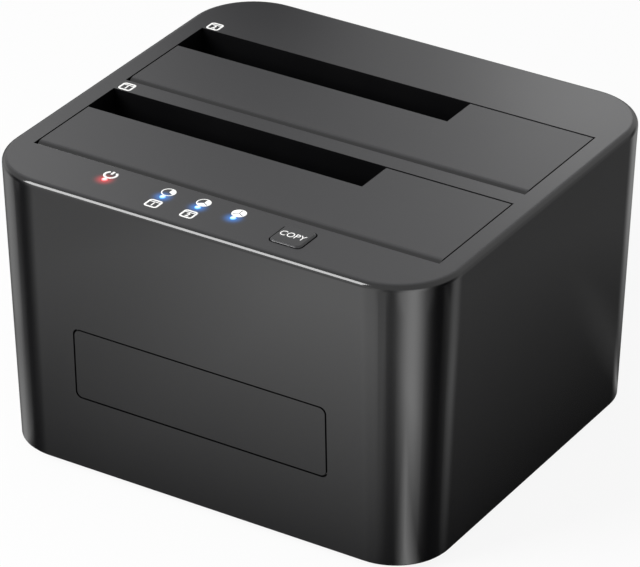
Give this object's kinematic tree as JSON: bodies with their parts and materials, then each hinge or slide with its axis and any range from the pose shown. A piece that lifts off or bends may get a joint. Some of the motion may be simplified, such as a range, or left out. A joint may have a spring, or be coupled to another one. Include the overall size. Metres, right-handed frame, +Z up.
{
  "type": "drive duplicator",
  "caption": "Desktop dock with two hinged-flap bays in its deck for bare drives, a copy button, status lights, and power, data and switch at the back.",
  "frame": {"origin": "middle of the footprint, on the desk under the feet", "axes": "+X to the right across the bays, +Y to the back where the ports are, +Z up out of the bays"},
  "size_m": [0.115, 0.1048, 0.0729],
  "materials": {
    "housing_plastic": "fine matt texture",
    "flap_plastic": "fine matt texture",
    "badge_plastic": "satin",
    "base_plastic": "matt",
    "frame_plastic": "matt",
    "button_plastic": "satin",
    "rubber": "matt",
    "zinc_steel": "zinc plated",
    "spring_steel": "bright wire",
    "clear_plastic": "clear",
    "led_red": "clear resin",
    "led_blue": "clear resin",
    "circuit_board": "solder mask",
    "black_resin": "moulded",
    "connector_black": "moulded",
    "switch_black": "moulded",
    "port_blue": "moulded",
    "socket_white": "moulded",
    "ribbon_plastic": "flexible film",
    "port_steel": "nickel plated",
    "gold_contact": "gold plated",
    "can_aluminium": "bright",
    "ferrite": "moulded"
  },
  "bodies": {
    "housing": {"housing_shell": "housing_plastic", "badge_plate": "badge_plastic", "base_cover": "base_plastic", "base_screws": "zinc_steel", "rubber_feet": "rubber", "bay_frame": "frame_plastic", "power_light_pipe": "clear_plastic", "progress_light_pipes": "clear_plastic", "power_led": "led_red", "progress_leds": "led_blue", "indicator_board": "circuit_board", "tact_switch": "black_resin", "ribbon_cable": "ribbon_plastic", "ribbon_socket_upper": "socket_white", "ribbon_socket_lower": "socket_white", "main_board": "circuit_board", "main_board_screws": "zinc_steel", "bridge_chip": "black_resin", "memory_chip": "black_resin", "clock_crystal": "port_steel", "regulator_chips": "black_resin", "power_inductors": "ferrite", "filter_capacitors": "can_aluminium", "usb_port_shell": "port_steel", "usb_port_insert": "port_blue", "usb_port_contacts": "gold_contact", "dc_jack_body": "connector_black", "dc_jack_pin": "port_steel", "power_switch_case": "switch_black", "power_switch_terminals": "gold_contact", "front_flap_pin": "spring_steel", "front_flap_spring": "spring_steel", "front_bay_connector": "connector_black", "front_bay_contacts": "gold_contact", "rear_flap_pin": "spring_steel", "rear_flap_spring": "spring_steel", "rear_bay_connector": "connector_black", "rear_bay_contacts": "gold_contact"},
    "front_flap": {"front_flap": "flap_plastic"},
    "rear_flap": {"rear_flap": "flap_plastic"},
    "copy_button": {"copy_button": "button_plastic", "tact_plunger": "black_resin"},
    "power_rocker": {"power_rocker": "switch_black"}
  },
  "joints": [
    {"name": "front_flap_hinge", "type": "hinge", "parent": "housing", "child": "front_flap", "pos_m": [0, -0.0346, 0.0703], "axis": [-1, 0, 0], "range_deg": [0, 90], "stiffness_Nm_per_rad": 0.006, "springref_deg": -85.94, "deforming": ["front_flap_spring"]},
    {"name": "rear_flap_hinge", "type": "hinge", "parent": "housing", "child": "rear_flap", "pos_m": [0, 0.0018, 0.0703], "axis": [-1, 0, 0], "range_deg": [0, 90], "stiffness_Nm_per_rad": 0.006, "springref_deg": -85.94, "deforming": ["rear_flap_spring"]},
    {"name": "copy_button_press", "type": "slide", "parent": "housing", "child": "copy_button", "axis": [0, 0, -1], "range_m": [0, 0.00035], "stiffness_N_per_m": 2000, "springref_m": -0.0004},
    {"name": "power_rocker_tilt", "type": "hinge", "parent": "housing", "child": "power_rocker", "pos_m": [0.032, 0.04742, 0.0151], "axis": [0, 0, 1], "range_deg": [0, 18]}
  ]
}
